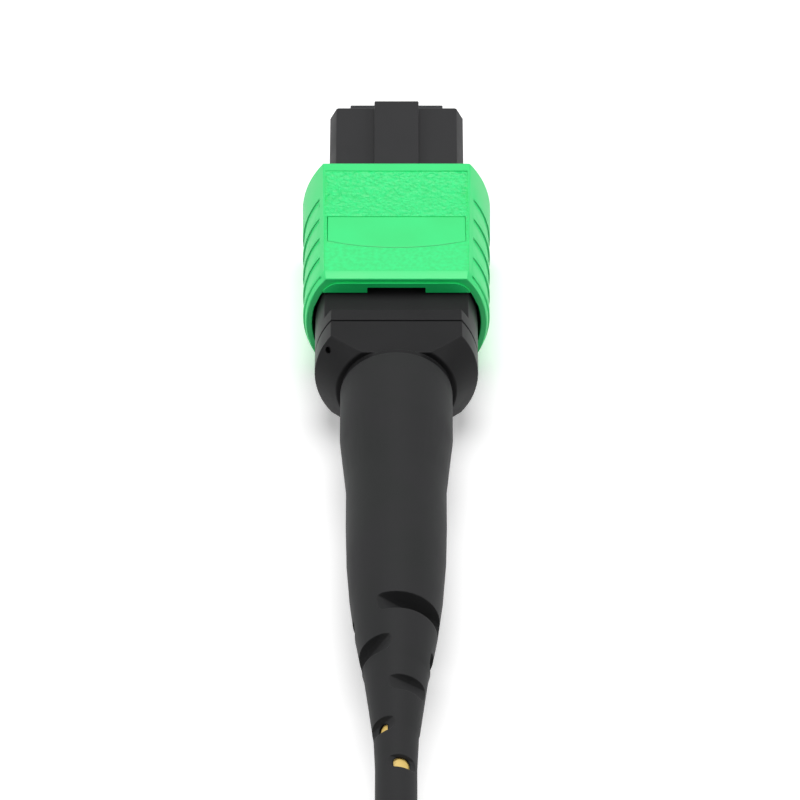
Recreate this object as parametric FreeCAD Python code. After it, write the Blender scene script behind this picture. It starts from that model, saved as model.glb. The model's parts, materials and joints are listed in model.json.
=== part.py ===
import FreeCAD, Part
import math
import os

# Multi-fibre push-on plug, female, twelve fibres, angled end face. Millimetres.
# Origin: centre of the ferrule's mating face. +Y is the way the plug is pushed in,
# +Z is the key side, +X is right when the plug is seen from its boot.

# ---- ferrule ----
FERRULE_WIDTH = 6.4
FERRULE_HEIGHT = 2.5
FERRULE_LENGTH = 8.0
FLANGE_RIM_SIDE = 0.3          # the ferrule's own rear flange stands out this far, each side
FLANGE_RIM_TOP = 0.25
FLANGE_LENGTH = 2.0
END_FACE_ANGLE = 8.0           # degrees
GUIDE_PITCH = 4.6
GUIDE_RADIUS = 0.35
FIBRE_COUNT = 12
FIBRE_PITCH = 0.25
MICRO_HOLE_RADIUS = 0.08
THIN_SIDES = 6                 # sides of the sections of fibres and of their holes
WINDOW_FRONT = 3.0             # behind the end face
WINDOW_LENGTH = 1.8
WINDOW_WIDTH = 3.4
WINDOW_DEPTH_BELOW_AXIS = 0.25
POCKET_WIDTH = 3.94
POCKET_HEIGHT = 1.56
FERRULE_CHAMFER = 0.06

# ---- fibres ----
GLASS_RADIUS = 0.0625
COATED_RADIUS = 0.12
BUNDLE_PITCH = 0.27
BUNDLE_COLUMNS = 4
FIBRE_SPREAD_START = 11.5      # behind the end face, as are the next two
FIBRE_SPREAD_END = 17.5
FIBRE_GATHER_END = 26.0
FIBRE_END_MARGIN = 0.3         # fibre ends stay this far inside the jacket at full ferrule travel

# ---- ferrule boot, pin keeper, ferrule spring ----
FERRULE_BOOT_LENGTH = 4.6
FERRULE_BOOT_SLACK = 0.04
FIBRE_SLOT_HEIGHT = 0.36
KEEPER_LENGTH = 2.2
KEEPER_INSET = 0.15            # keeper is this much smaller than the flange, each side
KEEPER_CORNER = 0.2
KEEPER_OPENING_SLACK = 0.08
PIN_HEAD_RADIUS = 0.56         # room behind the guide holes for the heads of guide pins
SEAT_BOSS_LENGTH = 0.6
SEAT_BOSS_SLACK = 0.12
SPRING_WIRE = 0.44
SPRING_GAP_SIDE = 0.5          # from the spring to the cavity's walls
SPRING_GAP_TOP = 0.18
SPRING_LENGTH = 8.4
SPRING_TURNS = 5.5
BEND_STEPS = 4                 # flats in each half turn of a coil
FERRULE_TRAVEL = 1.0

# ---- inner housing ----
FERRULE_PROTRUSION = 2.05      # ferrule stands this far out of the housing
FERRULE_SLACK = 0.1            # round the ferrule and its flange
HOUSING_SIDE_WALL = 0.98
HOUSING_TOP_WALL = 1.0
CORNER_CUT_X = 0.46
CORNER_CUT_Z = 0.9
FRONT_EDGE = 0.18
KEY_WIDTH = 3.05
KEY_RISE = 0.5
KEY_LENGTH = 17.0
BARREL_SHOULDER = 0.86         # the round rear half stands out this far from the front half's sides
COLLAR_RISE = 0.7              # flats of the collar and the push flange, above the housing's
COLLAR_LENGTH = 1.13
HOUSING_LENGTH = 24.11
LATCH_POCKET_START = 3.4       # behind the housing's front
LATCH_POCKET_LENGTH = 2.3
LATCH_POCKET_DEPTH = 0.45
LATCH_POCKET_HEIGHT = 2.4
CHANNEL_DEPTH = 1.1
CHANNEL_HEIGHT = 1.2
CATCH_LENGTH = 1.2
CATCH_WIDTH = 1.0
CATCH_RISE = 0.34
CATCH_OFFSET = 2.9             # from the middle plane to the catch's middle
SNAP_WINDOW_LENGTH = 1.5
SNAP_WINDOW_HEIGHT = 1.7
SNAP_WINDOW_START = 18.4       # behind the housing's front

# ---- coupling sleeve ----
SLEEVE_SIDE_WALL = 0.77        # at its front; the outside tapers by SLEEVE_DRAFT towards its rear
SLEEVE_TOP_WALL = 1.28
SLEEVE_DRAFT = 0.15
SLEEVE_LENGTH = 12.26          # without its rear lips
SLEEVE_SETBACK = 8.18          # housing front to sleeve front
SLEEVE_TRAVEL = 1.8
SLEEVE_SLACK_FLAT = 0.12
SLEEVE_SLACK_ROUND = 0.2
SLEEVE_SLACK_SIDE = 0.1
SLEEVE_LEDGE = 1.94            # length of the narrow front opening
KEY_SLOT_WIDTH = 3.9
KEY_SLOT_SLACK = 0.1
KEY_TOP_SLACK = 0.05
REAR_BEVEL_LENGTH = 0.62
REAR_BEVEL_DROP = 0.2
LIP_LENGTH = 0.1               # pads above and below the rear opening
LIP_MARGIN = 0.5               # from the lips to the top and bottom faces
LIP_CORNER = 1.3
GRIP_COUNT = 5
GRIP_PITCH = 2.08
GRIP_FIRST = 3.42              # behind the sleeve's front
GRIP_LENGTH = 1.7
GRIP_DEPTH = 0.13
GRIP_HEIGHT = 7.2
PANEL_RECESS = 0.06
PANEL_WIDTH = 9.66
PANEL_FRONT = 0.78             # behind the sleeve's front, as are the next four
PANEL_REAR = 11.55
SCOOP_LOW = 3.5
SCOOP_END = 4.75
PLATE_FRONT = 5.8
SCOOP_DEPTH = 0.19             # below the panel
PLATE_WIDTH = 9.3
PLATE_LENGTH = 2.62            # at its sides; its rear edge bows by PLATE_BOW
PLATE_BOW = 0.7

# ---- coupling springs ----
COUPLING_WIRE = 0.12
COUPLING_DIAMETER = 0.9
COUPLING_LENGTH = 7.0
COUPLING_TURNS = 7.0

# ---- spring push ----
PUSH_SLACK = 0.1
PUSH_FLANGE_LENGTH = 1.6
PUSH_CONE_LENGTH = 1.7
PUSH_CONE_RADIUS = 4.0
PUSH_NECK_LENGTH = 0.5
PUSH_NECK_INSET = 0.12         # the neck is this much slimmer than the boot's root
CRIMP_BARREL_RADIUS = 2.2
CRIMP_BARREL_LENGTH = 5.2
CRIMP_GROOVES = 3
CRIMP_GROOVE_DEPTH = 0.12
FIBRE_PASSAGE_WIDTH = 4.2
FIBRE_PASSAGE_HEIGHT = 1.3
PUSH_BORE_WALL = 0.7
SNAP_ARM_THICKNESS = 0.6
SNAP_ARM_GAP = 0.35
SNAP_ARM_LENGTH = 5.0
SNAP_CLEARANCE = 0.06
SNAP_RISE = 0.9
DIMPLE_RADIUS = 0.24
DIMPLE_DEPTH = 0.3
SEAM = 0.09                    # between the housing rear end and the push flange

# ---- cable, yarn and crimp ----
JACKET_RADIUS = 1.0
JACKET_WALL = 0.13
BUNDLE_ROOM = 0.62              # inner radius of the yarn round the fibres
LAYER_GAP = 0.03
YARN_CRIMP_WALL = 0.2
YARN_CRIMP_LENGTH = 4.8
CRIMP_WALL = 0.35
CRIMP_CONE_LENGTH = 1.2
CRIMP_TAIL_LENGTH = 3.0
JACKET_INTO_CRIMP = 2.8

# ---- strain-relief boot ----
BOOT_ROOT_WALL = 0.88          # over the crimp ring
BOOT_ROOT_LENGTH = 4.6
BOOT_NECK_DROP = 0.44
BOOT_NECK_LENGTH = 5.2
BOOT_WAIST_LENGTH = 3.7
BOOT_BODY_LENGTH = 13.8        # rounded stretch, down to the first ring step
BOOT_BODY_STEP = 0.11
BOOT_STEP = 0.06
BOOT_STEP_LENGTH = 0.5
BOOT_TAPER_LENGTH = 5.8
BOOT_TAPER_DROP = 0.57
BOOT_TAIL_DROP = 0.1
BOOT_TAIL_TAPER = 2.6
BOOT_TAIL_WALL = 0.22          # at the mouth
BOOT_LENGTH = 40.4
BOOT_BORE_SLACK = 0.1
SLOT_PITCH = 3.36
SLOT_FIRST = 23.29             # behind the boot's root
SLOT_WIDTHS = (1.4, 1.36, 1.24, 1.2, 1.15)
SLOT_TURNS = (36.0, -58.0, 32.0, -49.0, 20.0)       # degrees towards the right, from the top
SLOT_FLOORS = (0.15, 0.37, 0.15, -0.07, -0.14)      # of each slot's flat floor, above the bore
SLOT_CORNER = 0.35

# ---- places along the plug that several pieces share ----
FLANGE_WIDTH = FERRULE_WIDTH + 2 * FLANGE_RIM_SIDE
FLANGE_HEIGHT = FERRULE_HEIGHT + 2 * FLANGE_RIM_TOP
HOUSING_FRONT = -FERRULE_PROTRUSION
HOUSING_REAR = HOUSING_FRONT - HOUSING_LENGTH
FLANGE_SEAT = -(FERRULE_LENGTH - FLANGE_LENGTH)
FERRULE_REAR = -FERRULE_LENGTH
KEEPER_REAR = FERRULE_REAR - KEEPER_LENGTH
PUSH_SEAT = KEEPER_REAR - SPRING_LENGTH
CAVITY_HALF_WIDTH = FLANGE_WIDTH / 2 + FERRULE_SLACK
CAVITY_HALF_HEIGHT = FLANGE_HEIGHT / 2 + FERRULE_SLACK
SPRING_WIDTH = 2 * (CAVITY_HALF_WIDTH - SPRING_GAP_SIDE)
SPRING_HEIGHT = 2 * (CAVITY_HALF_HEIGHT - SPRING_GAP_TOP)
HOUSING_HALF_WIDTH = CAVITY_HALF_WIDTH + HOUSING_SIDE_WALL
HOUSING_HALF_HEIGHT = CAVITY_HALF_HEIGHT + HOUSING_TOP_WALL
COLLAR_HALF_HEIGHT = HOUSING_HALF_HEIGHT + COLLAR_RISE
BARREL_RADIUS = HOUSING_HALF_WIDTH + BARREL_SHOULDER
SLEEVE_BORE_RADIUS = BARREL_RADIUS + SLEEVE_SLACK_ROUND
SLEEVE_BORE_HALF_HEIGHT = HOUSING_HALF_HEIGHT + SLEEVE_SLACK_FLAT
SLEEVE_RADIUS = SLEEVE_BORE_RADIUS + SLEEVE_SIDE_WALL
SLEEVE_HALF_HEIGHT = SLEEVE_BORE_HALF_HEIGHT + SLEEVE_TOP_WALL
COLLAR_FRONT = HOUSING_REAR + COLLAR_LENGTH
SLEEVE_FRONT = HOUSING_FRONT - SLEEVE_SETBACK
SLEEVE_REAR = SLEEVE_FRONT - SLEEVE_LENGTH
LEDGE_REAR = SLEEVE_FRONT - SLEEVE_LEDGE
SHOULDER = LEDGE_REAR - SLEEVE_TRAVEL - 0.1
CHANNEL_REAR = LEDGE_REAR - COUPLING_LENGTH
CATCH_FRONT = SHOULDER - 1.1
CATCH_REAR = CATCH_FRONT - CATCH_LENGTH
PUSH_FLANGE_FRONT = HOUSING_REAR - SEAM
PUSH_FLANGE_REAR = PUSH_FLANGE_FRONT - PUSH_FLANGE_LENGTH
PUSH_CONE_REAR = PUSH_FLANGE_REAR - PUSH_CONE_LENGTH
BOOT_FRONT = PUSH_CONE_REAR - PUSH_NECK_LENGTH
BOOT_REAR = BOOT_FRONT - BOOT_LENGTH
BARREL_REAR = BOOT_FRONT - CRIMP_BARREL_LENGTH
PUSH_BORE_RADIUS = CRIMP_BARREL_RADIUS - PUSH_BORE_WALL
YARN_OUTER_RADIUS = CRIMP_BARREL_RADIUS + LAYER_GAP + YARN_CRIMP_WALL
CRIMP_INNER_RADIUS = YARN_OUTER_RADIUS + LAYER_GAP
CRIMP_OUTER_RADIUS = CRIMP_INNER_RADIUS + CRIMP_WALL
JACKET_INNER_RADIUS = JACKET_RADIUS - JACKET_WALL
YARN_TUBE_OUTER = JACKET_INNER_RADIUS - LAYER_GAP
CRIMP_TAIL_RADIUS = JACKET_RADIUS + LAYER_GAP + CRIMP_WALL
CRIMP_CONE_REAR = BARREL_REAR - CRIMP_CONE_LENGTH
CRIMP_REAR = CRIMP_CONE_REAR - CRIMP_TAIL_LENGTH
JACKET_FRONT = CRIMP_REAR + JACKET_INTO_CRIMP
BOOT_BORE_RADIUS = JACKET_RADIUS + BOOT_BORE_SLACK
BOOT_CAVITY_RADIUS = CRIMP_OUTER_RADIUS + LAYER_GAP
BOOT_ROOT_RADIUS = BOOT_CAVITY_RADIUS + BOOT_ROOT_WALL
BOOT_NECK_RADIUS = BOOT_ROOT_RADIUS - BOOT_NECK_DROP
PUSH_NECK_RADIUS = BOOT_ROOT_RADIUS - PUSH_NECK_INSET
BOOT_TAIL_RADIUS = BOOT_BORE_RADIUS + BOOT_TAIL_WALL

OVERCUT = 1.0                  # cutters run this far past the face they open
Y_AXIS = FreeCAD.Vector(0, 1, 0)
ORIGIN = FreeCAD.Vector(0, 0, 0)


# ---- basic shapes ----
def block(half_width, y_front, y_rear, z_low, z_high, x_middle=0.0):
    corner = FreeCAD.Vector(x_middle - half_width, y_rear, z_low)
    return Part.makeBox(2 * half_width, y_front - y_rear, z_high - z_low, corner)


def rod(radius, y_front, y_rear, x=0.0, z=0.0):
    return Part.makeCylinder(radius, y_front - y_rear, FreeCAD.Vector(x, y_rear, z), Y_AXIS)


def flatted(radius, half_height, y_front, y_rear):
    """Round bar along Y with a flat on top and a flat underneath."""
    slab = block(radius + OVERCUT, y_front, y_rear, -half_height, half_height)
    return rod(radius, y_front, y_rear).common(slab)


def prism(points, y_front, y_rear):
    """Straight bar along Y whose section is the closed outline of (x, z) points."""
    corners = [FreeCAD.Vector(x, y_rear, z) for x, z in points]
    face = Part.Face(Part.makePolygon(corners + corners[:1]))
    return face.extrude(FreeCAD.Vector(0, y_front - y_rear, 0))


def thin_bar(radius, y_front, y_rear, x):
    """Straight bar along Y whose section is a small regular polygon."""
    around = [2 * math.pi * (side + 0.5) / THIN_SIDES for side in range(THIN_SIDES)]
    return prism([(x + radius * math.cos(a), radius * math.sin(a)) for a in around], y_front, y_rear)


def cross_bar(points, half_width, x_middle=0.0):
    """Straight bar along X whose section is the closed outline of (y, z) points."""
    corners = [FreeCAD.Vector(x_middle - half_width, y, z) for y, z in points]
    face = Part.Face(Part.makePolygon(corners + corners[:1]))
    return face.extrude(FreeCAD.Vector(2 * half_width, 0, 0))


def turned_outline(points):
    """Solid turned about the Y axis from a closed half section of (radius, y) points."""
    corners = [FreeCAD.Vector(radius, y, 0) for radius, y in points]
    return Part.Face(Part.makePolygon(corners + corners[:1])).revolve(ORIGIN, Y_AXIS, 360)


def slot_bar(width, height, y_front, y_rear):
    """Bar along Y with a round-ended, slot-shaped section."""
    radius = height / 2
    reach = width / 2 - radius
    bar = block(reach, y_front, y_rear, -radius, radius)
    for side in (-1, 1):
        bar = bar.fuse(rod(radius, y_front, y_rear, side * reach))
    return bar.removeSplitter()


def chamfered_edges(solid, size, wanted):
    """Chamfer the edges for which wanted(edge) is true."""
    return solid.makeChamfer(size, [edge for edge in solid.Edges if wanted(edge)])


def lies_at(edge, y):
    box = edge.BoundBox
    return abs(box.YMin - y) < 1e-6 and abs(box.YMax - y) < 1e-6


def coil_spring(width, height, wire, sides, turns, y_front, y_rear, x=0.0):
    """Compression spring along Y with ground ends; wider than high makes it oval."""
    bend = (height - wire) / 2
    run = (width - height) / 2
    pitch = (y_front - y_rear) / turns
    turn_length = 2 * math.pi * bend + 4 * run
    steps = BEND_STEPS if run > 0 else BEND_STEPS - 1
    sections = []
    for half in range(2 * math.ceil(turns) + 2):
        centre = run if half % 2 == 0 else -run
        for step in range(steps + 1):
            turned_by = math.pi * step / BEND_STEPS
            angle = math.pi * half - math.pi / 2 + turned_by
            travelled = half * turn_length / 2 + bend * turned_by
            y = y_rear - pitch / 2 + pitch * travelled / turn_length
            ring = []
            for side in range(sides):
                around = 2 * math.pi * (side + 0.5) / sides
                radius = bend + wire / 2 * math.cos(around)
                ring.append(FreeCAD.Vector(x + centre + radius * math.cos(angle),
                                           y + wire / 2 * math.sin(around), radius * math.sin(angle)))
            sections.append(Part.makePolygon(ring + ring[:1]))
    coil = Part.makeLoft(sections, True, True)
    return coil.common(block(width, y_front, y_rear, -width, width, x))


# ---- ferrule group ----
def fibre_offsets():
    """Across-the-row places of the fibres in the ferrule."""
    return [(index - (FIBRE_COUNT - 1) / 2) * FIBRE_PITCH for index in range(FIBRE_COUNT)]


def make_ferrule():
    reach = OVERCUT
    body = block(FERRULE_WIDTH / 2, reach, FERRULE_REAR, -FERRULE_HEIGHT / 2, FERRULE_HEIGHT / 2)
    flange = block(FLANGE_WIDTH / 2, FLANGE_SEAT, FERRULE_REAR, -FLANGE_HEIGHT / 2, FLANGE_HEIGHT / 2)
    ferrule = body.fuse(flange)
    along = [e for e in ferrule.Edges if e.BoundBox.YLength > FLANGE_LENGTH - 1e-6]
    ferrule = ferrule.makeChamfer(FERRULE_CHAMFER, along)
    cutter = block(FERRULE_WIDTH, 2 * reach, 0, -2 * FERRULE_HEIGHT, 2 * FERRULE_HEIGHT)
    cutter.rotate(ORIGIN, FreeCAD.Vector(1, 0, 0), END_FACE_ANGLE)
    ferrule = ferrule.cut(cutter)
    window_rear = -WINDOW_FRONT - WINDOW_LENGTH
    window = block(WINDOW_WIDTH / 2, -WINDOW_FRONT, window_rear, -WINDOW_DEPTH_BELOW_AXIS, FERRULE_HEIGHT)
    pocket = block(POCKET_WIDTH / 2, window_rear, FERRULE_REAR, -POCKET_HEIGHT / 2, POCKET_HEIGHT / 2)
    cutters = [window, pocket]
    for side in (-1, 1):
        cutters.append(rod(GUIDE_RADIUS, reach, FERRULE_REAR, side * GUIDE_PITCH / 2))
    for offset in fibre_offsets():
        cutters.append(thin_bar(MICRO_HOLE_RADIUS, reach, -WINDOW_FRONT, offset))
    return ferrule.cut(cutters)


def make_window_epoxy():
    slack = LAYER_GAP
    low = GLASS_RADIUS + slack
    rear = -WINDOW_FRONT - WINDOW_LENGTH + slack
    return block(WINDOW_WIDTH / 2 - slack, -WINDOW_FRONT - slack, rear, low, FERRULE_HEIGHT / 2)


def make_ferrule_boot():
    front = -WINDOW_FRONT - WINDOW_LENGTH - 0.3
    rear = front - FERRULE_BOOT_LENGTH
    width = POCKET_WIDTH - 2 * FERRULE_BOOT_SLACK
    height = POCKET_HEIGHT - 2 * FERRULE_BOOT_SLACK
    boot = slot_bar(width, height, front, rear)
    fibre_slot = block(FIBRE_COUNT * FIBRE_PITCH / 2 + FIBRE_PITCH / 2, front, rear,
                       -FIBRE_SLOT_HEIGHT / 2, FIBRE_SLOT_HEIGHT / 2)
    return boot.cut(fibre_slot)


def make_pin_keeper():
    half_width = FLANGE_WIDTH / 2 - KEEPER_INSET
    half_height = FLANGE_HEIGHT / 2 - KEEPER_INSET
    keeper = block(half_width, FERRULE_REAR, KEEPER_REAR, -half_height, half_height)
    along = [e for e in keeper.Edges if abs(e.BoundBox.YLength - KEEPER_LENGTH) < 1e-6]
    keeper = keeper.makeFillet(KEEPER_CORNER, along)
    boss_width = SPRING_WIDTH - 2 * SPRING_WIRE - 2 * SEAT_BOSS_SLACK
    boss_height = SPRING_HEIGHT - 2 * SPRING_WIRE - 2 * SEAT_BOSS_SLACK
    keeper = keeper.fuse(slot_bar(boss_width, boss_height, KEEPER_REAR, KEEPER_REAR - SEAT_BOSS_LENGTH))
    opening_width = POCKET_WIDTH + 2 * KEEPER_OPENING_SLACK
    opening_height = POCKET_HEIGHT - 2 * FERRULE_BOOT_SLACK + 2 * KEEPER_OPENING_SLACK
    rear = KEEPER_REAR - SEAT_BOSS_LENGTH
    cutters = [slot_bar(opening_width, opening_height, FERRULE_REAR, rear)]
    for side in (-1, 1):
        cutters.append(rod(PIN_HEAD_RADIUS, FERRULE_REAR, KEEPER_REAR, side * GUIDE_PITCH / 2))
    return keeper.cut(cutters).removeSplitter()


def make_ferrule_spring():
    return coil_spring(SPRING_WIDTH, SPRING_HEIGHT, SPRING_WIRE, 5, SPRING_TURNS, KEEPER_REAR, PUSH_SEAT)


def swept_rod(points, radius, sides):
    """Thin rod along straight runs with mitred corners; its section is a regular polygon."""
    ring = []
    for side in range(sides):
        around = 2 * math.pi * (side + 0.5) / sides
        ring.append(points[0] + FreeCAD.Vector(math.cos(around), 0, math.sin(around)) * radius)
    section = Part.makePolygon(ring + ring[:1])
    return Part.makePolygon(points).makePipeShell([section], True, False, 1)


def make_fibre(index):
    """One fibre: bare glass in the ferrule, then coated, from the flat row to the cable's bundle."""
    row_x = fibre_offsets()[index]
    rows = FIBRE_COUNT // BUNDLE_COLUMNS
    bundle_x = (index // rows - (BUNDLE_COLUMNS - 1) / 2) * BUNDLE_PITCH
    bundle_z = (index % rows - (rows - 1) / 2) * BUNDLE_PITCH
    strip = -WINDOW_FRONT - WINDOW_LENGTH - LAYER_GAP
    points = [
        FreeCAD.Vector(row_x, strip, 0),
        FreeCAD.Vector(row_x, -FIBRE_SPREAD_START, 0),
        FreeCAD.Vector(row_x, -FIBRE_SPREAD_END, bundle_z),
        FreeCAD.Vector(bundle_x, -FIBRE_GATHER_END, bundle_z),
        FreeCAD.Vector(bundle_x, BOOT_REAR + FERRULE_TRAVEL + FIBRE_END_MARGIN, bundle_z),
    ]
    glass = thin_bar(GLASS_RADIUS, 0, strip, row_x)
    return glass.fuse(swept_rod(points, COATED_RADIUS, THIN_SIDES))


# ---- inner housing ----
def housing_outline(half_width, half_height):
    """Corners of the plug's front section, with its long corner cuts."""
    inner_x = half_width - CORNER_CUT_X
    inner_z = half_height - CORNER_CUT_Z
    return [(inner_x, half_height), (half_width, inner_z), (half_width, -inner_z),
            (inner_x, -half_height), (-inner_x, -half_height), (-half_width, -inner_z),
            (-half_width, inner_z), (-inner_x, half_height)]


def sleeve_catch(side, up):
    """Ramped catch that stops the sleeve's forward travel."""
    low = up * (HOUSING_HALF_HEIGHT - 0.1)
    foot = up * HOUSING_HALF_HEIGHT
    top = up * (HOUSING_HALF_HEIGHT + CATCH_RISE)
    flat_end = CATCH_REAR + CATCH_LENGTH / 4
    outline = [(CATCH_FRONT, low), (CATCH_FRONT, foot), (flat_end, top),
               (CATCH_REAR, top), (CATCH_REAR, low)]
    return cross_bar(outline, CATCH_WIDTH / 2, side * CATCH_OFFSET)


def make_inner_housing():
    front_body = prism(housing_outline(HOUSING_HALF_WIDTH, HOUSING_HALF_HEIGHT), HOUSING_FRONT, SHOULDER)
    front_body = chamfered_edges(front_body, FRONT_EDGE, lambda e: lies_at(e, HOUSING_FRONT))
    rear_body = flatted(BARREL_RADIUS, HOUSING_HALF_HEIGHT, SHOULDER, COLLAR_FRONT)
    collar = flatted(BARREL_RADIUS, COLLAR_HALF_HEIGHT, COLLAR_FRONT, HOUSING_REAR)
    key_top = HOUSING_HALF_HEIGHT + KEY_RISE
    key = block(KEY_WIDTH / 2, HOUSING_FRONT, HOUSING_FRONT - KEY_LENGTH, 0, key_top)
    parts = [rear_body, collar, key]
    parts += [sleeve_catch(side, up) for side in (-1, 1) for up in (-1, 1)]
    housing = front_body.fuse(parts).removeSplitter()

    mouth_width = FERRULE_WIDTH / 2 + FERRULE_SLACK
    mouth_height = FERRULE_HEIGHT / 2 + FERRULE_SLACK
    cutters = [
        block(mouth_width, HOUSING_FRONT, FLANGE_SEAT, -mouth_height, mouth_height),
        block(CAVITY_HALF_WIDTH, FLANGE_SEAT, HOUSING_REAR, -CAVITY_HALF_HEIGHT, CAVITY_HALF_HEIGHT),
    ]
    pocket_front = HOUSING_FRONT - LATCH_POCKET_START
    snap_front = HOUSING_FRONT - SNAP_WINDOW_START
    for side in (-1, 1):
        pocket_x = side * (HOUSING_HALF_WIDTH + OVERCUT - LATCH_POCKET_DEPTH)
        cutters.append(block(OVERCUT, pocket_front, pocket_front - LATCH_POCKET_LENGTH,
                             -LATCH_POCKET_HEIGHT / 2, LATCH_POCKET_HEIGHT / 2, pocket_x))
        channel_x = side * (BARREL_RADIUS + OVERCUT - CHANNEL_DEPTH)
        cutters.append(block(OVERCUT, LEDGE_REAR + LAYER_GAP, CHANNEL_REAR,
                             -CHANNEL_HEIGHT / 2, CHANNEL_HEIGHT / 2, channel_x))
        window_x = side * (CAVITY_HALF_WIDTH + BARREL_RADIUS) / 2
        cutters.append(block(BARREL_RADIUS / 2, snap_front, snap_front - SNAP_WINDOW_LENGTH,
                             -SNAP_WINDOW_HEIGHT / 2, SNAP_WINDOW_HEIGHT / 2, window_x))
    return housing.cut(cutters)


# ---- coupling sleeve ----
def sleeve_radius(y):
    """Outer radius of the slightly tapered sleeve."""
    return SLEEVE_RADIUS - SLEEVE_DRAFT * (SLEEVE_FRONT - y) / SLEEVE_LENGTH


def grip_ring(index):
    """Ring that cuts one saw tooth: steep towards the boot side, ramped out again behind it."""
    front = SLEEVE_FRONT - GRIP_FIRST - index * GRIP_PITCH
    outer = SLEEVE_RADIUS + OVERCUT
    ramp_end = front - GRIP_LENGTH
    ring = turned_outline([(sleeve_radius(front) - GRIP_DEPTH, front), (outer, front), (outer, ramp_end),
                           (sleeve_radius(ramp_end), ramp_end)])
    return ring.common(block(outer, front, ramp_end, -GRIP_HEIGHT / 2, GRIP_HEIGHT / 2))


def panel_cutter():
    """Recess of the top face: a shallow scoop, then a panel round a raised plate with one bowed edge."""
    face_z = SLEEVE_HALF_HEIGHT
    floor = face_z - PANEL_RECESS
    front = SLEEVE_FRONT - PANEL_FRONT
    scoop_end = SLEEVE_FRONT - SCOOP_END
    scoop_low = SLEEVE_FRONT - SCOOP_LOW
    rear = SLEEVE_FRONT - PANEL_REAR
    high = face_z + OVERCUT
    recess = cross_bar([(front, high), (front, floor), (scoop_low, floor - SCOOP_DEPTH),
                        (scoop_end, floor), (rear, floor), (rear, high)], PANEL_WIDTH / 2)
    plate_front = SLEEVE_FRONT - PLATE_FRONT
    plate_side = plate_front - PLATE_LENGTH
    half = PLATE_WIDTH / 2
    corners = [FreeCAD.Vector(x, y, floor) for x, y in
               ((half, plate_side), (half, plate_front), (-half, plate_front), (-half, plate_side))]
    bow = Part.Arc(corners[3], FreeCAD.Vector(0, plate_side - PLATE_BOW, floor), corners[0])
    edges = [Part.makeLine(a, b) for a, b in zip(corners, corners[1:])] + [bow.toShape()]
    plate = Part.Face(Part.Wire(edges)).extrude(FreeCAD.Vector(0, 0, 2 * OVERCUT))
    return recess.cut(plate)


def rear_lip():
    """Pad above the rear opening, with rounded corners."""
    half_height = SLEEVE_HALF_HEIGHT - LIP_MARGIN
    rear = SLEEVE_REAR - LIP_LENGTH
    pad = flatted(SLEEVE_BORE_RADIUS, half_height, SLEEVE_REAR + LIP_LENGTH, rear)
    corners = [e for e in pad.Edges if abs(e.BoundBox.YLength - 2 * LIP_LENGTH) < 1e-6]
    pad = pad.makeFillet(LIP_CORNER, corners)
    return pad.common(block(SLEEVE_RADIUS, SLEEVE_REAR + LIP_LENGTH, rear,
                            SLEEVE_BORE_HALF_HEIGHT, half_height))


def make_coupling_sleeve():
    half_height = SLEEVE_HALF_HEIGHT
    bevel_front = SLEEVE_REAR + REAR_BEVEL_LENGTH
    drop = REAR_BEVEL_DROP
    bar = turned_outline([(0, SLEEVE_FRONT), (SLEEVE_RADIUS, SLEEVE_FRONT),
                          (sleeve_radius(bevel_front), bevel_front),
                          (sleeve_radius(SLEEVE_REAR) - drop, SLEEVE_REAR), (0, SLEEVE_REAR)])
    low = half_height - drop
    slab = cross_bar([(SLEEVE_FRONT, half_height), (bevel_front, half_height), (SLEEVE_REAR, low),
                      (SLEEVE_REAR, -low), (bevel_front, -half_height), (SLEEVE_FRONT, -half_height)],
                     SLEEVE_RADIUS + OVERCUT)
    body = bar.common(slab).cut([grip_ring(index) for index in range(GRIP_COUNT)])
    underneath = [panel_cutter(), rear_lip()]
    for shape in underneath:
        shape.rotate(ORIGIN, Y_AXIS, 180)
    body = body.cut([panel_cutter(), underneath[0]]).fuse([rear_lip(), underneath[1]])

    bore_half = SLEEVE_BORE_HALF_HEIGHT
    rear = SLEEVE_REAR - LIP_LENGTH
    mouth_half = HOUSING_HALF_WIDTH + SLEEVE_SLACK_SIDE
    mouth = prism(housing_outline(mouth_half, bore_half), SLEEVE_FRONT, LEDGE_REAR)
    bore = flatted(SLEEVE_BORE_RADIUS, bore_half, LEDGE_REAR, rear)
    slot_top = HOUSING_HALF_HEIGHT + KEY_RISE + KEY_TOP_SLACK
    key_mouth = block(KEY_WIDTH / 2 + KEY_SLOT_SLACK, SLEEVE_FRONT, LEDGE_REAR, 0, slot_top)
    key_slot = block(KEY_SLOT_WIDTH / 2, LEDGE_REAR, rear, 0, slot_top)
    groove_front = CATCH_FRONT + SLEEVE_TRAVEL + 0.1
    groove_top = HOUSING_HALF_HEIGHT + CATCH_RISE + KEY_SLOT_SLACK
    cutters = [mouth, bore, key_mouth, key_slot]
    for side in (-1, 1):
        cutters.append(block(CATCH_WIDTH / 2 + SLEEVE_SLACK_SIDE, groove_front, CATCH_REAR,
                             -groove_top, groove_top, side * CATCH_OFFSET))
    return body.cut(cutters)


def make_coupling_spring(side):
    middle = BARREL_RADIUS - CHANNEL_DEPTH / 2
    return coil_spring(COUPLING_DIAMETER, COUPLING_DIAMETER, COUPLING_WIRE, 5, COUPLING_TURNS,
                       LEDGE_REAR, CHANNEL_REAR, side * middle)


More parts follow.
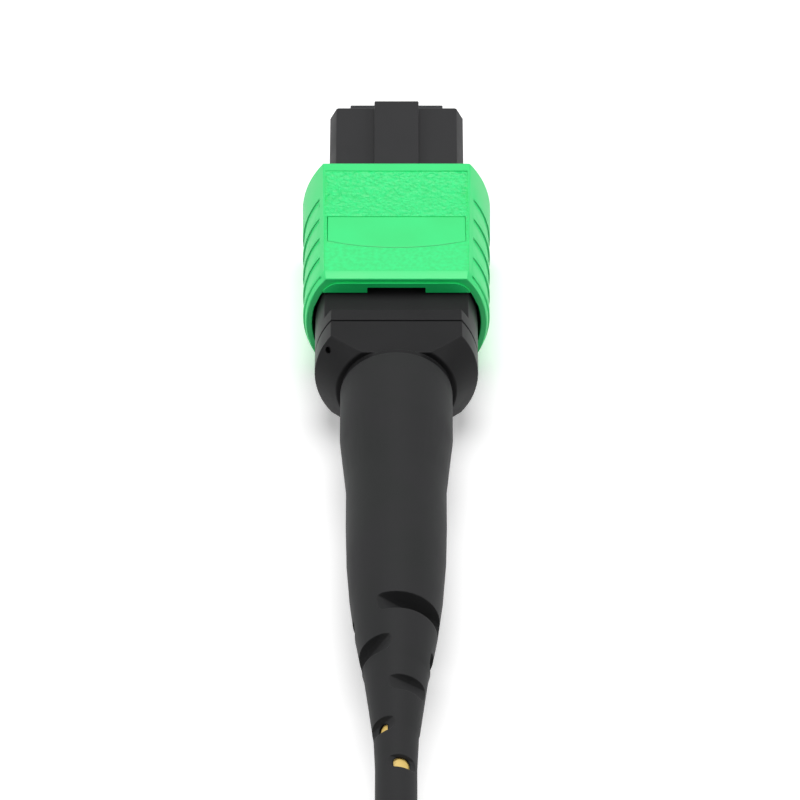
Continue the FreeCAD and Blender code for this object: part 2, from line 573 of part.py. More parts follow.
# ---- spring push ----
def snap_lug(side):
    """Ramped lug of one snap arm; it locks in the housing's side window."""
    front = HOUSING_FRONT - SNAP_WINDOW_START - SNAP_CLEARANCE
    rear = front - SNAP_WINDOW_LENGTH + 2 * SNAP_CLEARANCE
    inner = CAVITY_HALF_WIDTH - FERRULE_SLACK - SNAP_ARM_THICKNESS / 2
    outer = CAVITY_HALF_WIDTH + SNAP_RISE
    half = SNAP_WINDOW_HEIGHT / 2 - SNAP_CLEARANCE
    outline = [(inner, rear), (outer, rear), (outer, (front + rear) / 2),
               (CAVITY_HALF_WIDTH, front), (inner, front)]
    corners = [FreeCAD.Vector(side * x, y, -half) for x, y in outline]
    return Part.Face(Part.makePolygon(corners + corners[:1])).extrude(FreeCAD.Vector(0, 0, 2 * half))


def make_spring_push():
    half_width = CAVITY_HALF_WIDTH - PUSH_SLACK
    half_height = CAVITY_HALF_HEIGHT - PUSH_SLACK
    tongue = block(half_width, PUSH_SEAT, PUSH_FLANGE_FRONT, -half_height, half_height)
    boss_width = SPRING_WIDTH - 2 * SPRING_WIRE - 2 * SEAT_BOSS_SLACK
    boss_height = SPRING_HEIGHT - 2 * SPRING_WIRE - 2 * SEAT_BOSS_SLACK
    boss = slot_bar(boss_width, boss_height, PUSH_SEAT + SEAT_BOSS_LENGTH, PUSH_SEAT)
    flats = COLLAR_HALF_HEIGHT
    head = turned_outline([(0, PUSH_FLANGE_FRONT), (BARREL_RADIUS, PUSH_FLANGE_FRONT),
                           (BARREL_RADIUS, PUSH_FLANGE_REAR), (PUSH_CONE_RADIUS, PUSH_CONE_REAR),
                           (0, PUSH_CONE_REAR)])
    head = head.common(block(BARREL_RADIUS + OVERCUT, PUSH_FLANGE_FRONT, PUSH_CONE_REAR, -flats, flats))
    neck = rod(PUSH_NECK_RADIUS, PUSH_CONE_REAR, BOOT_FRONT)
    barrel = rod(CRIMP_BARREL_RADIUS, BOOT_FRONT, BARREL_REAR)
    push = tongue.fuse([boss, head, neck, barrel, snap_lug(-1), snap_lug(1)]).removeSplitter()

    passage_rear = PUSH_FLANGE_REAR
    passage = block(FIBRE_PASSAGE_WIDTH / 2, PUSH_SEAT + SEAT_BOSS_LENGTH, passage_rear,
                    -FIBRE_PASSAGE_HEIGHT / 2, FIBRE_PASSAGE_HEIGHT / 2)
    cutters = [passage, rod(PUSH_BORE_RADIUS, passage_rear, BARREL_REAR)]
    arm_inner = half_width - SNAP_ARM_THICKNESS - SNAP_ARM_GAP / 2
    for side in (-1, 1):
        cutters.append(block(SNAP_ARM_GAP / 2, PUSH_SEAT, PUSH_SEAT - SNAP_ARM_LENGTH,
                             -half_height, half_height, side * arm_inner))
    groove_pitch = (YARN_CRIMP_LENGTH - 0.4) / CRIMP_GROOVES
    for index in range(CRIMP_GROOVES):
        front = BOOT_FRONT - 0.6 - index * groove_pitch
        rear = front - groove_pitch / 2
        groove = rod(CRIMP_BARREL_RADIUS + OVERCUT, front, rear)
        cutters.append(groove.cut(rod(CRIMP_BARREL_RADIUS - CRIMP_GROOVE_DEPTH, front, rear)))
    return push.cut(cutters + [dimple_cutter()])


def dimple_cutter():
    """Round gate mark on the left cheek of the cone."""
    angle = math.radians(152)
    depth_along = 0.38
    radius = BARREL_RADIUS + (PUSH_CONE_RADIUS - BARREL_RADIUS) * depth_along / PUSH_CONE_LENGTH
    place = FreeCAD.Vector(radius * math.cos(angle), PUSH_FLANGE_REAR - depth_along, radius * math.sin(angle))
    direction = FreeCAD.Vector(-math.cos(angle), 1.0, -math.sin(angle)).normalize()
    return Part.makeCylinder(DIMPLE_RADIUS, 2 * DIMPLE_DEPTH, place - direction * DIMPLE_DEPTH, direction)


# ---- cable end, yarn and crimp ring ----
def make_crimp_ring():
    front = BOOT_FRONT - LAYER_GAP
    tail_inner = CRIMP_TAIL_RADIUS - CRIMP_WALL
    return turned_outline([
        (CRIMP_INNER_RADIUS, front), (CRIMP_OUTER_RADIUS, front), (CRIMP_OUTER_RADIUS, BARREL_REAR),
        (CRIMP_TAIL_RADIUS, CRIMP_CONE_REAR), (CRIMP_TAIL_RADIUS, CRIMP_REAR),
        (tail_inner, CRIMP_REAR), (tail_inner, CRIMP_CONE_REAR + CRIMP_WALL / 2),
        (CRIMP_INNER_RADIUS, BARREL_REAR + CRIMP_WALL / 2)])


def make_aramid_yarn():
    """Yarn tube inside the jacket that flares forward over the crimp barrel."""
    folded_inner = CRIMP_BARREL_RADIUS + LAYER_GAP
    crimp_front = BARREL_REAR + YARN_CRIMP_LENGTH
    flare = BARREL_REAR - LAYER_GAP
    end = BOOT_REAR + LAYER_GAP
    wall = 1.2 * (YARN_TUBE_OUTER - BUNDLE_ROOM)
    return turned_outline([
        (folded_inner, crimp_front), (YARN_OUTER_RADIUS, crimp_front), (YARN_OUTER_RADIUS, BARREL_REAR + 0.3),
        (YARN_TUBE_OUTER, JACKET_FRONT + wall), (YARN_TUBE_OUTER, end),
        (BUNDLE_ROOM, end), (BUNDLE_ROOM, JACKET_FRONT + 2 * wall), (folded_inner, flare)])


def make_cable_jacket():
    return turned_outline([
        (JACKET_INNER_RADIUS, JACKET_FRONT), (JACKET_RADIUS, JACKET_FRONT),
        (JACKET_RADIUS, BOOT_REAR), (JACKET_INNER_RADIUS, BOOT_REAR)])


# ---- strain-relief boot ----
def eased(start, end, steps):
    """Points (radius, y) of a curve that leaves start along the axis and bends towards end."""
    shares = [step / steps for step in range(steps + 1)]
    return [(start[0] + (end[0] - start[0]) * share ** 2, start[1] + (end[1] - start[1]) * share)
            for share in shares]


def boot_slot(index):
    """Pair of opposite cross cuts with flat floors that run out at the surface."""
    middle = BOOT_FRONT - SLOT_FIRST - index * SLOT_PITCH
    half = SLOT_WIDTHS[index] / 2
    floor = BOOT_BORE_RADIUS + SLOT_FLOORS[index]
    reach = BOOT_ROOT_RADIUS + OVERCUT
    bend = SLOT_CORNER * (1 - math.sqrt(0.5))
    profile = [(half, reach), (half, floor + SLOT_CORNER), (half - bend, floor + bend),
               (half - SLOT_CORNER, floor)]
    outline = [(middle + y, z) for y, z in profile] + [(middle - y, z) for y, z in reversed(profile)]
    cuts = []
    for turn in (SLOT_TURNS[index], SLOT_TURNS[index] + 180):
        cut = cross_bar(outline, reach)
        cut.rotate(ORIGIN, Y_AXIS, turn)
        cuts.append(cut)
    return cuts


def make_strain_relief_boot():
    root_end = BOOT_FRONT - BOOT_ROOT_LENGTH
    neck_end = root_end - BOOT_NECK_LENGTH
    body_start = neck_end - BOOT_WAIST_LENGTH
    body_end = body_start - BOOT_BODY_LENGTH
    taper_end = body_end - BOOT_TAPER_LENGTH
    tail_front = taper_end - BOOT_STEP_LENGTH
    tail_start_radius = BOOT_TAIL_RADIUS + BOOT_TAIL_DROP
    taper_end_radius = tail_start_radius + BOOT_STEP
    taper_start_radius = taper_end_radius + BOOT_TAPER_DROP
    body_end_radius = taper_start_radius + BOOT_BODY_STEP
    crimp_tail_bore = CRIMP_TAIL_RADIUS + LAYER_GAP
    crimp_tail_end = CRIMP_REAR - LAYER_GAP
    outline = [(BOOT_ROOT_RADIUS, root_end), (BOOT_NECK_RADIUS, neck_end)]
    outline += eased((BOOT_NECK_RADIUS, body_start), (body_end_radius, body_end), 4)
    outline += [
        (taper_start_radius, body_end - BOOT_STEP_LENGTH), (taper_end_radius, taper_end),
        (tail_start_radius, tail_front), (BOOT_TAIL_RADIUS, tail_front - BOOT_TAIL_TAPER),
        (BOOT_TAIL_RADIUS, BOOT_REAR), (BOOT_BORE_RADIUS, BOOT_REAR),
        (BOOT_BORE_RADIUS, crimp_tail_end), (crimp_tail_bore, crimp_tail_end),
        (crimp_tail_bore, CRIMP_CONE_REAR - LAYER_GAP), (BOOT_CAVITY_RADIUS, BARREL_REAR - LAYER_GAP),
        (BOOT_CAVITY_RADIUS, BOOT_FRONT), (BOOT_ROOT_RADIUS, BOOT_FRONT)]
    cutters = []
    for index in range(len(SLOT_WIDTHS)):
        cutters += boot_slot(index)
    return turned_outline(outline).cut(cutters)


# ---- all pieces ----
def make_pieces():
    pieces = {
        "coupling_sleeve": make_coupling_sleeve(),
        "inner_housing": make_inner_housing(),
        "coupling_spring_left": make_coupling_spring(-1),
        "coupling_spring_right": make_coupling_spring(1),
        "ferrule": make_ferrule(),
        "ferrule_boot": make_ferrule_boot(),
        "pin_keeper": make_pin_keeper(),
        "ferrule_spring": make_ferrule_spring(),
        "spring_push": make_spring_push(),
        "crimp_ring": make_crimp_ring(),
        "strain_relief_boot": make_strain_relief_boot(),
        "cable_jacket": make_cable_jacket(),
        "aramid_yarn": make_aramid_yarn(),
        "window_epoxy": make_window_epoxy(),
    }
    for index in range(FIBRE_COUNT):
        pieces["fibre_%02d" % (index + 1)] = make_fibre(index)
    return pieces


os.makedirs("parts", exist_ok=True)
for name, shape in make_pieces().items():
    shape.exportStep("parts/%s.step" % name)
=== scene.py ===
import json
import math

import bmesh
import bpy
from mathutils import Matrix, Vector

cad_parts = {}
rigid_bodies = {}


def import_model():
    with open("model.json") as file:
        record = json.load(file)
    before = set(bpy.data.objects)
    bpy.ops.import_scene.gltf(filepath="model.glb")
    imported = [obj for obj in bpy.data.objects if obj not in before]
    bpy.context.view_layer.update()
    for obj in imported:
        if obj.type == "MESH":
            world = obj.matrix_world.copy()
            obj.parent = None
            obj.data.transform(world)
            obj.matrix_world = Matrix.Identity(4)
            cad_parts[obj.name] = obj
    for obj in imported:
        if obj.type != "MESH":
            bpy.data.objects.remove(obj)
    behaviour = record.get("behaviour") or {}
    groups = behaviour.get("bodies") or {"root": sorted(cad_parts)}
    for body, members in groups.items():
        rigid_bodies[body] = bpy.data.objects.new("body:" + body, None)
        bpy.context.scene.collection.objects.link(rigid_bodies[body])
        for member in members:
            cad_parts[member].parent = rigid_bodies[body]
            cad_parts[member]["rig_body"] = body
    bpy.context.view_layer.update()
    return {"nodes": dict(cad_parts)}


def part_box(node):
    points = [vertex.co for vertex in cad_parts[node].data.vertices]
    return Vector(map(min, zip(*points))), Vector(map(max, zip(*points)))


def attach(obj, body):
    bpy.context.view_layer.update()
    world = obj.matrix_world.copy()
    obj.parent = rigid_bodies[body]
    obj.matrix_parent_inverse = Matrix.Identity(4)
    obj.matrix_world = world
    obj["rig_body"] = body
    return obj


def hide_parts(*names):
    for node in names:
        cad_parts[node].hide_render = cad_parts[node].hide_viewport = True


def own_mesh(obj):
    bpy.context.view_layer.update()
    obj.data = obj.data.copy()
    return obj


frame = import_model()
nodes = frame["nodes"]
MM = 0.001
WHITE = (1.0, 1.0, 1.0, 1.0)


# ---- nodes and colours ----
def srgb(code):
    """Linear colour from a hex code such as '2b2b2d'."""
    channels = [int(code[place:place + 2], 16) / 255 for place in (0, 2, 4)]
    return tuple(c / 12.92 if c <= 0.04045 else ((c + 0.055) / 1.055) ** 2.4 for c in channels) + (1.0,)


def add(tree, kind, inputs=None, stops=(), **settings):
    """Add a node. An input given as another node's output socket becomes a link, and each stop is
    a position and a hex code."""
    node = tree.nodes.new("ShaderNode" + kind)
    for name, value in settings.items():
        setattr(node, name, value)
    for index, (position, code) in enumerate(stops):
        node.color_ramp.elements[index].position = position
        node.color_ramp.elements[index].color = srgb(code)
    for name, value in (inputs or {}).items():
        if isinstance(value, bpy.types.NodeSocket):
            tree.links.new(value, node.inputs[name])
        else:
            node.inputs[name].default_value = value
    return node


def new_material(name):
    """Empty node material and its tree."""
    material = bpy.data.materials.new(name)
    material.use_nodes = True
    material.node_tree.nodes.clear()
    return material, material.node_tree


def per_mm(size_mm):
    """Pattern scale whose features are about size_mm across."""
    return 1.0 / (size_mm * MM)


# ---- plastics ----
FLOW_MARK_MM = 3.5      # slow marks where the melt ran
PBT_GREEN_IOR = 1.58


def moulded(name, low, high, roughness, grain_mm, grain_height_mm,
            waviness=0.25, ior=1.5, specular=0.5, soft_edge_mm=0.0):
    """Injection-moulded plastic: tool grain in the bump, slow flow marks in colour and gloss, and
    edges that catch the light softly over soft_edge_mm."""
    material, tree = new_material(name)
    place = add(tree, "TexCoord").outputs["Object"]
    flow = add(tree, "TexNoise", {"Vector": place, "Scale": per_mm(FLOW_MARK_MM),
                                  "Detail": 2.0}).outputs["Fac"]
    grain = add(tree, "TexNoise", {"Vector": place, "Scale": per_mm(grain_mm),
                                   "Detail": 3.0}).outputs["Fac"]
    colour = add(tree, "ValToRGB", {"Fac": flow}, stops=((0.35, low), (0.65, high)))
    gloss = add(tree, "MapRange", {"Value": flow, "From Min": 0.3, "From Max": 0.7,
                                   "To Min": roughness * (1 - waviness),
                                   "To Max": roughness * (1 + waviness)})
    bump = add(tree, "Bump", {"Height": grain, "Strength": 1.0, "Distance": grain_height_mm * MM})
    if soft_edge_mm:
        edge = add(tree, "Bevel", {"Radius": soft_edge_mm * MM}, samples=6)
        tree.links.new(edge.outputs["Normal"], bump.inputs["Normal"])
    shader = add(tree, "BsdfPrincipled", {
        "Base Color": colour.outputs["Color"], "Roughness": gloss.outputs["Result"],
        "Normal": bump.outputs["Normal"], "IOR": ior, "Specular IOR Level": specular})
    add(tree, "OutputMaterial", {"Surface": shader.outputs["BSDF"]})
    return material


# The grain a tool leaves on plastic is too fine to show here, so it is drawn at 0.08 to 0.4 mm.
# Smooth green PBT from a polished tool: even colour, soft satin highlights along the edges.
pull_sleeve_green = moulded("green_pbt_polished_tool", "14dc72", "18e178", 0.46, 0.25, 0.0008,
                            waviness=0.08, ior=PBT_GREEN_IOR)
# Glass-filled black PBT from a lightly blasted tool: dry dark grey, with the glass dulling its gloss.
housing_black = moulded("black_glass_filled_pbt", "333334", "353536", 0.5, 0.12, 0.0012,
                        waviness=0.1, specular=0.06)
# The same PBT at the collar, where the tool was polished: slightly tighter gloss, and a deeper black that is
# painted shade from the sleeve above it.
collar_black_painted_shade = moulded("black_pbt_polished_collar_painted_shade", "202021", "222223", 0.4, 0.15, 0.0008,
                       waviness=0.1, specular=0.08)
# Black PEI of the spring push: the deepest black, even and dry.
push_black = moulded("black_moulded_pei", "1e1e1f", "202021", 0.4, 0.15, 0.0008,
                     waviness=0.1, specular=0.08)
# Thermoplastic elastomer, moulded: matt, even dark grey with soft edges.
boot_black = moulded("black_moulded_elastomer", "323333", "343435", 0.5, 0.18, 0.001,
                     waviness=0.08, ior=1.48, specular=0.04, soft_edge_mm=0.12)
# Ferrule: black glass-filled PPS, ground and polished on its end face, dark with a faint cool grey.
ferrule_black = moulded("black_pps_transfer_moulded", "202124", "2a2b2e", 0.35, 0.08, 0.0006, specular=0.25)
# Silicone rubber of the fibre guide, moulded: dull dark grey.
ferrule_boot_rubber = moulded("black_silicone_rubber", "242424", "2e2e2e", 0.7, 0.3, 0.002)
# Cable jacket: extruded PVC, smooth warm yellow.
jacket_yellow = moulded("yellow_extruded_pvc", "dcb862", "e4c470", 0.45, 0.4, 0.001)


def spark_eroded(coarse_end):
    """The sleeve's green PBT where the tool was spark-eroded: pebbled like fine leather in the
    thumb scoop, up to coarse_end along the sleeve, and only faintly rough behind it."""
    material, tree = new_material("green_pbt_spark_eroded")
    place = add(tree, "TexCoord").outputs["Object"]
    along = add(tree, "SeparateXYZ", {"Vector": place}).outputs["Y"]
    wander = add(tree, "TexNoise", {"Vector": place, "Scale": per_mm(0.5), "Detail": 2.0}).outputs["Color"]
    drift = add(tree, "VectorMath", {0: wander, 1: (0.5, 0.5, 0.5)}, operation="SUBTRACT").outputs["Vector"]
    shift = add(tree, "VectorMath", {0: drift, "Scale": 0.35 * MM}, operation="SCALE").outputs["Vector"]
    warped = add(tree, "VectorMath", {0: place, 1: shift}, operation="ADD").outputs["Vector"]
    pebbles = add(tree, "TexVoronoi", {"Vector": warped, "Scale": per_mm(0.34), "Smoothness": 0.5},
                  feature="SMOOTH_F1").outputs["Distance"]
    specks = add(tree, "TexNoise", {"Vector": place, "Scale": per_mm(0.3), "Detail": 3.0}).outputs["Fac"]
    relief = add(tree, "MapRange", {"Value": along, "From Min": coarse_end - 0.05 * MM,
                                    "From Max": coarse_end + 0.05 * MM, "To Min": 0.012, "To Max": 0.1})
    mixed = add(tree, "Math", {0: pebbles, 1: specks}, operation="SUBTRACT").outputs["Value"]
    height = add(tree, "Math", {0: mixed, 1: relief.outputs["Result"]}, operation="MULTIPLY").outputs["Value"]
    colour = add(tree, "ValToRGB", {"Fac": specks}, stops=((0.35, "12da70"), (0.65, "1ae67e")))
    gloss = add(tree, "MapRange", {"Value": specks, "From Min": 0.3, "From Max": 0.7,
                                   "To Min": 0.42, "To Max": 0.54})
    bump = add(tree, "Bump", {"Height": height, "Strength": 1.0, "Distance": 1.0 * MM})
    shader = add(tree, "BsdfPrincipled", {
        "Base Color": colour.outputs["Color"], "Roughness": gloss.outputs["Result"],
        "Normal": bump.outputs["Normal"], "IOR": PBT_GREEN_IOR})
    add(tree, "OutputMaterial", {"Surface": shader.outputs["BSDF"]})
    return material


def cured_epoxy():
    """Clear amber resin, glossy where it levelled itself."""
    material, tree = new_material("amber_cured_epoxy")
    place = add(tree, "TexCoord").outputs["Object"]
    haze = add(tree, "TexNoise", {"Vector": place, "Scale": per_mm(1.2), "Detail": 2.0}).outputs["Fac"]
    colour = add(tree, "ValToRGB", {"Fac": haze}, stops=((0.0, "6e4a18"), (1.0, "94702c")))
    bump = add(tree, "Bump", {"Height": haze, "Strength": 1.0, "Distance": 0.004 * MM})
    shader = add(tree, "BsdfPrincipled", {"Base Color": colour.outputs["Color"], "Roughness": 0.12,
                                          "Normal": bump.outputs["Normal"], "IOR": 1.55})
    add(tree, "OutputMaterial", {"Surface": shader.outputs["BSDF"]})
    return material


# ---- metals and fibres ----
def metal(name, colour_code, roughness, streak_mm, along):
    """Metal with fine marks that run along one axis of the part."""
    material, tree = new_material(name)
    place = add(tree, "TexCoord").outputs["Object"]
    stretch = add(tree, "Mapping", {"Vector": place, "Scale": along}).outputs["Vector"]
    marks = add(tree, "TexNoise", {"Vector": stretch, "Scale": per_mm(streak_mm),
                                   "Detail": 4.0}).outputs["Fac"]
    gloss = add(tree, "MapRange", {"Value": marks, "To Min": roughness * 0.7, "To Max": roughness * 1.3})
    bump = add(tree, "Bump", {"Height": marks, "Strength": 1.0, "Distance": 0.001 * MM})
    shader = add(tree, "BsdfPrincipled", {
        "Base Color": srgb(colour_code), "Metallic": 1.0,
        "Roughness": gloss.outputs["Result"], "Normal": bump.outputs["Normal"]})
    add(tree, "OutputMaterial", {"Surface": shader.outputs["BSDF"]})
    return material


# Marks from drawing, moulding and turning are too fine to show here, so they are drawn at 0.05 to 0.08 mm.
# Cold-drawn stainless wire: bright and slightly warm, with fine marks.
spring_wire_steel = metal("stainless_drawn_wire", "b9b6b0", 0.28, 0.05, (1.0, 0.2, 1.0))
# Stainless steel, metal injection moulded: dull grey, evenly mottled.
keeper_steel = metal("stainless_injection_moulded", "aaa8a4", 0.4, 0.08, (1.0, 1.0, 1.0))
# Nickel-plated brass, turned: silvery, with tool rings round the part.
crimp_brass = metal("nickel_plated_brass_turned", "c4bfb2", 0.3, 0.05, (0.1, 1.0, 0.1))


def aramid():
    """Loose yellow aramid yarn: a silky sheen of filaments along the cable. A filament is too fine
    to show here, so it is drawn 0.06 mm thick."""
    material, tree = new_material("yellow_aramid_filaments")
    place = add(tree, "TexCoord").outputs["Object"]
    stretch = add(tree, "Mapping", {"Vector": place, "Scale": (1.0, 0.03, 1.0)}).outputs["Vector"]
    strands = add(tree, "TexNoise", {"Vector": stretch, "Scale": per_mm(0.06), "Detail": 3.0}).outputs["Fac"]
    colour = add(tree, "ValToRGB", {"Fac": strands}, stops=((0.0, "b98f2a"), (1.0, "f0cf5e")))
    bump = add(tree, "Bump", {"Height": strands, "Strength": 1.0, "Distance": 0.03 * MM})
    shader = add(tree, "BsdfPrincipled", {"Base Color": colour.outputs["Color"], "Roughness": 0.45,
                                          "Normal": bump.outputs["Normal"], "Sheen Weight": 0.3})
    add(tree, "OutputMaterial", {"Surface": shader.outputs["BSDF"]})
    return material


# Twelve fibre colours in the usual order; each is a thin acrylate lacquer, smooth with a gloss.
FIBRE_COLOURS = (("blue", "2f5fb8"), ("orange", "e2792a"), ("green", "2f9a54"), ("brown", "7a4d2c"),
                 ("slate", "7c858c"), ("white", "ececea"), ("red", "c8322e"), ("black", "232325"),
                 ("yellow", "e9cf3f"), ("violet", "74519e"), ("rose", "e58ea6"), ("aqua", "57b9c4"))


def give(material, name):
    nodes[name].data.materials.clear()
    nodes[name].data.materials.append(material)


give(ferrule_black, "ferrule")
give(ferrule_boot_rubber, "ferrule_boot")
give(keeper_steel, "pin_keeper")
give(crimp_brass, "crimp_ring")
give(jacket_yellow, "cable_jacket")
give(aramid(), "aramid_yarn")
give(cured_epoxy(), "window_epoxy")
for number, (colour_name, code) in enumerate(FIBRE_COLOURS, 1):
    give(moulded("acrylate_coated_fibre_" + colour_name, code, code, 0.3, 0.1, 0.0005), "fibre_%02d" % number)


# ---- places on the sleeve, housing and push ----
sleeve_low, sleeve_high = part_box("coupling_sleeve")
SCOOP_FRONT = sleeve_high.y - 0.78 * MM     # the recessed panel starts here with the thumb scoop
PLATE_FRONT = sleeve_high.y - 5.8 * MM      # the scoop ends at the smooth plate
PANEL_REAR = sleeve_high.y - 11.55 * MM
PANEL_HALF = 4.83 * MM
PANEL_DEPTHS = (0.03 * MM, 0.4 * MM)        # its floor lies between these, below the top face
POLISH_AND_SHADE_FRONT = sleeve_low.y + 3 * MM        # the housing's tool is polished behind this, under the sleeve, and its colour there is darkened as painted shade from the sleeve
REAR_LIPS = (2.0, 3.55)                     # mm from the middle plane
REAR_LIP_REACH = 0.35                       # mm from the sleeve's rear
SLIGHT_ROUNDING = 0.25
NEAR = 0.05                                 # mm, for an edge that lies on a plane
GATE_MARK = Vector((-4.44, -28.23, 2.36))   # mm, middle of the push's moulding mark
GATE_MARK_REACH = 0.6                       # mm


# ---- softened skins of the moulded pieces ----
def softened(node, edge_mm, share=None, cut_at=None, fine_mm=0.14, sharp=28.0, flat=0.8):
    """Copy of a CAD node with its flats merged and its edges rounded by edge_mm as moulding leaves
    them. share gives each place its part of that, edges shorter than fine_mm stay crisp, and faces
    are divided at cut_at, in mm along the plug, where their finish changes."""
    shape = bmesh.new()
    shape.from_mesh(nodes[node].data)
    bmesh.ops.scale(shape, vec=(1 / MM,) * 3, verts=shape.verts)
    bmesh.ops.remove_doubles(shape, verts=shape.verts, dist=1e-4)
    bmesh.ops.dissolve_limit(shape, angle_limit=math.radians(flat), verts=shape.verts, edges=shape.edges)
    if cut_at is not None:
        whole = shape.verts[:] + shape.edges[:] + shape.faces[:]
        bmesh.ops.bisect_plane(shape, geom=whole, dist=1e-4,
                               plane_co=(0.0, cut_at, 0.0), plane_no=(0.0, 1.0, 0.0))
    mesh = bpy.data.meshes.new(node + "_skin")
    shape.to_mesh(mesh)
    weight = mesh.attributes.new("bevel_weight_edge", "FLOAT", "EDGE")
    for edge in shape.edges:
        turned = len(edge.link_faces) == 2 and edge.calc_face_angle() > math.radians(sharp)
        part = 1.0 if edge_mm and edge.calc_length() >= fine_mm else 0.0
        if part and share:
            part = share((edge.verts[0].co + edge.verts[1].co) / 2)
        weight.data[edge.index].value = part if turned else 0.0
        mesh.edges[edge.index].use_edge_sharp = turned and not part
    shape.free()
    if "custom_normal" in mesh.attributes:
        mesh.attributes.remove(mesh.attributes["custom_normal"])
    skin = bpy.data.objects.new(node + "_skin", mesh)
    bpy.context.scene.collection.objects.link(skin)
    for face in mesh.polygons:
        face.use_smooth = True
    rounding = skin.modifiers.new("edge_rounding", "BEVEL")
    rounding.width = edge_mm
    rounding.segments = 2
    rounding.limit_method = "WEIGHT"
    rounding.harden_normals = True
    rounding.use_clamp_overlap = False
    settled = bpy.data.meshes.new_from_object(skin.evaluated_get(bpy.context.evaluated_depsgraph_get()))
    skin.modifiers.clear()
    skin.data = settled
    settled.name = node + "_skin"
    bpy.data.meshes.remove(mesh)
    for vertex in settled.vertices:
        vertex.co *= MM
    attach(skin, nodes[node]["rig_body"])
    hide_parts(node)
    return skin


def finished(skin, slot, *materials):
    skin.data.materials.clear()
    for material in materials:
        skin.data.materials.append(material)


def sleeve_rounding(spot):
    """Full on the sleeve, slight on the panel's low side and rear walls, none on the rear lips."""
    if spot.y < sleeve_low.y / MM + REAR_LIP_REACH and REAR_LIPS[0] < abs(spot.z) < REAR_LIPS[1]:
        return 0.0
    side_wall = abs(abs(spot.x) - PANEL_HALF / MM) < NEAR and spot.y > PANEL_REAR / MM - NEAR
    return SLIGHT_ROUNDING if side_wall or abs(spot.y - PANEL_REAR / MM) < NEAR else 1.0


def push_rounding(spot):
    """Full on the push, none at its moulding mark."""
    return float((spot - GATE_MARK).length > GATE_MARK_REACH)


sleeve_skin = softened("coupling_sleeve", 0.07, sleeve_rounding)
finished(sleeve_skin, "sleeve_plastic", pull_sleeve_green, spark_eroded(PLATE_FRONT))
housing_skin = softened("inner_housing", 0.08, cut_at=POLISH_AND_SHADE_FRONT / MM)
finished(housing_skin, "housing_plastic", housing_black, collar_black_painted_shade)
finished(softened("spring_push", 0.08, push_rounding), "push_plastic", push_black)
finished(softened("strain_relief_boot", 0.0), "boot_elastomer", boot_black)

# The band in front of the thumb scoop slopes into it, above and below.
SLOPE_DROP = 0.055 * MM
SLOPE_REACH = 0.2 * MM
for vertex in sleeve_skin.data.vertices:
    spot = vertex.co
    at_front = SCOOP_FRONT - SLOPE_REACH < spot.y < SCOOP_FRONT + SLOPE_REACH and abs(spot.x) < PANEL_HALF
    if at_front and abs(spot.z) > sleeve_high.z - PANEL_DEPTHS[0]:
        spot.z -= math.copysign(SLOPE_DROP, spot.z)

# Panel floors of the sleeve, top and bottom, take the spark-eroded skin.
for face in sleeve_skin.data.polygons:
    depth = sleeve_high.z - abs(face.center.z)
    level = abs(face.normal.z) > 0.9 and PANEL_DEPTHS[0] < depth < PANEL_DEPTHS[1]
    if level and abs(face.center.x) < PANEL_HALF and PANEL_REAR < face.center.y < SCOOP_FRONT:
        face.material_index = 1
# The housing under the sleeve takes the collar material, whose darker colour is painted shade from the
# sleeve.
for face in housing_skin.data.polygons:
    if face.center.y < POLISH_AND_SHADE_FRONT:
        face.material_index = 1


# ---- springs ----
def coiled(node):
    """Copy of a spring in drawn stainless wire, riding with the housing."""
    wire = bpy.data.objects.new(node + "_wire", nodes[node].data.copy())
    bpy.context.scene.collection.objects.link(wire)
    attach(wire, "housing")
    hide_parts(node)
    finished(wire, "spring_wire", spring_wire_steel)
    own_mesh(wire)


coiled("ferrule_spring")
coiled("coupling_spring_left")
coiled("coupling_spring_right")


# ---- studio ----
FLOOR_HALF = 3.0        # metres
FLOOR_LIFT = 0.25       # light the floor adds where the background shows, so that it goes to white
FILL_STRENGTH = 0.12    # even light from all round
SOFTBOXES = (           # name, place and side in metres, power in watts
    ("overhead_softbox", (0.0, 0.15, 0.585), 0.42, 2.8),
    ("left_softbox", (-0.56, -0.14, 0.28), 0.45, 1.6),
    ("right_softbox", (0.56, -0.14, 0.28), 0.45, 1.6))
CAMERA_AIM = Vector((0.24, -30.5, 0.0)) * MM
CAMERA_ELEVATION = math.radians(40.0)
CAMERA_DISTANCE = 0.45
CAMERA_LENS = 306.2     # mm, on a 36 mm wide sensor


def shows_background(tree):
    """1 for rays that show the background: the camera's own, and those off metal and through glass."""
    path = add(tree, "LightPath").outputs
    seen = add(tree, "Math", {0: path["Is Camera Ray"], 1: path["Is Glossy Ray"]}, operation="MAXIMUM")
    return add(tree, "Math", {0: seen.outputs["Value"], 1: path["Is Transmission Ray"]},
               operation="MAXIMUM").outputs["Value"]


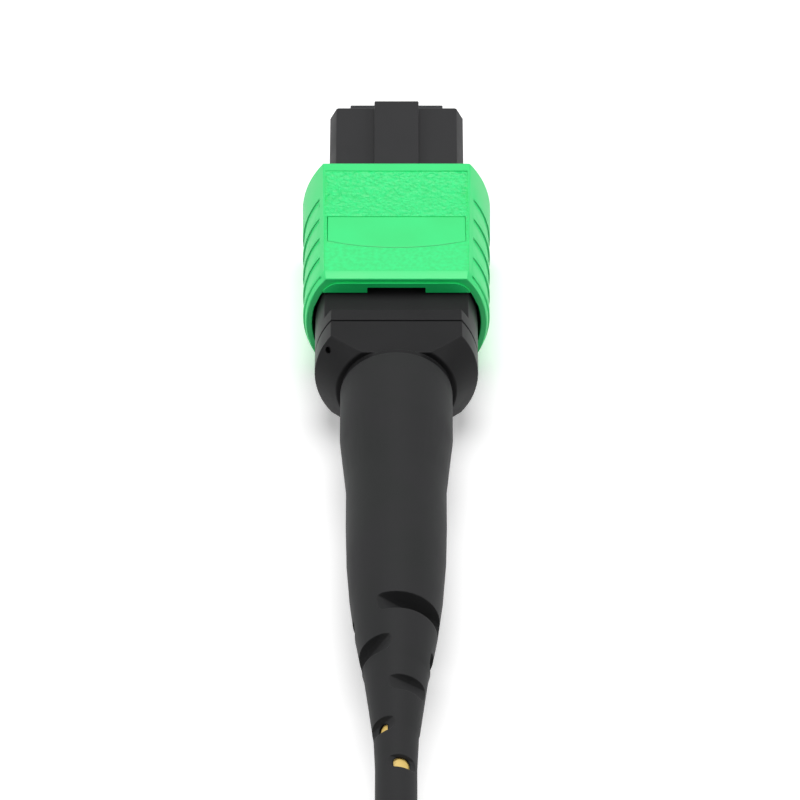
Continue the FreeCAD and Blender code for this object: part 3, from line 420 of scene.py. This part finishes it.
def studio_floor():
    """Pale matt floor under the sleeve; it goes to white away from the soft shadow."""
    material, tree = new_material("pale_matt_floor")
    place = add(tree, "TexCoord").outputs["Object"]
    mottle = add(tree, "TexNoise", {"Vector": place, "Scale": per_mm(40.0)}).outputs["Fac"]
    gloss = add(tree, "MapRange", {"Value": mottle, "To Min": 0.8, "To Max": 0.95})
    card = add(tree, "BsdfDiffuse", {"Color": srgb("d0d0d0"), "Roughness": gloss.outputs["Result"]})
    shade = add(tree, "BsdfDiffuse", {"Color": WHITE})
    lift = add(tree, "Emission", {"Color": WHITE, "Strength": FLOOR_LIFT})
    pale = add(tree, "AddShader", {0: shade.outputs["BSDF"], 1: lift.outputs["Emission"]})
    mix = add(tree, "MixShader", {"Fac": shows_background(tree), 1: card.outputs["BSDF"],
                                  2: pale.outputs["Shader"]})
    add(tree, "OutputMaterial", {"Surface": mix.outputs["Shader"]})
    mesh = bpy.data.meshes.new("floor")
    corners = ((-1, -1), (1, -1), (1, 1), (-1, 1))
    mesh.from_pydata([(x * FLOOR_HALF, y * FLOOR_HALF, sleeve_low.z) for x, y in corners], [], [(0, 1, 2, 3)])
    mesh.materials.append(material)
    floor = bpy.data.objects.new("floor", mesh)
    bpy.context.scene.collection.objects.link(floor)


def studio_air():
    """White where the background shows, and a dim even fill for the light."""
    world = bpy.data.worlds.new("studio_air")
    bpy.context.scene.world = world
    world.use_nodes = True
    tree = world.node_tree
    tree.nodes.clear()
    fill = add(tree, "Background", {"Color": WHITE, "Strength": FILL_STRENGTH})
    backdrop = add(tree, "Background", {"Color": WHITE, "Strength": 1.0})
    mix = add(tree, "MixShader", {"Fac": shows_background(tree), 1: fill.outputs["Background"],
                                  2: backdrop.outputs["Background"]})
    add(tree, "OutputWorld", {"Surface": mix.outputs["Shader"]})


def facing(name, data, place, aim):
    """Put a lamp or camera in place, turned to its aim."""
    piece = bpy.data.objects.new(name, data)
    piece.location = place
    piece.rotation_euler = (aim - piece.location).to_track_quat("-Z", "Y").to_euler()
    bpy.context.scene.collection.objects.link(piece)
    return piece


studio_floor()
studio_air()
for name, place, side, power in SOFTBOXES:
    light = bpy.data.lights.new(name, "AREA")
    light.shape = "RECTANGLE"
    light.size = side
    light.size_y = side
    light.energy = power
    facing(name, light, place, Vector((0.0, 0.0, 0.0)))

camera_data = bpy.data.cameras.new("camera")
camera_data.sensor_width = 36.0
camera_data.lens = CAMERA_LENS
camera_data.clip_start = 0.01
behind = Vector((0.0, -math.cos(CAMERA_ELEVATION), math.sin(CAMERA_ELEVATION)))
bpy.context.scene.camera = facing("camera", camera_data, CAMERA_AIM + behind * CAMERA_DISTANCE, CAMERA_AIM)

bpy.context.scene.view_settings.view_transform = "Standard"
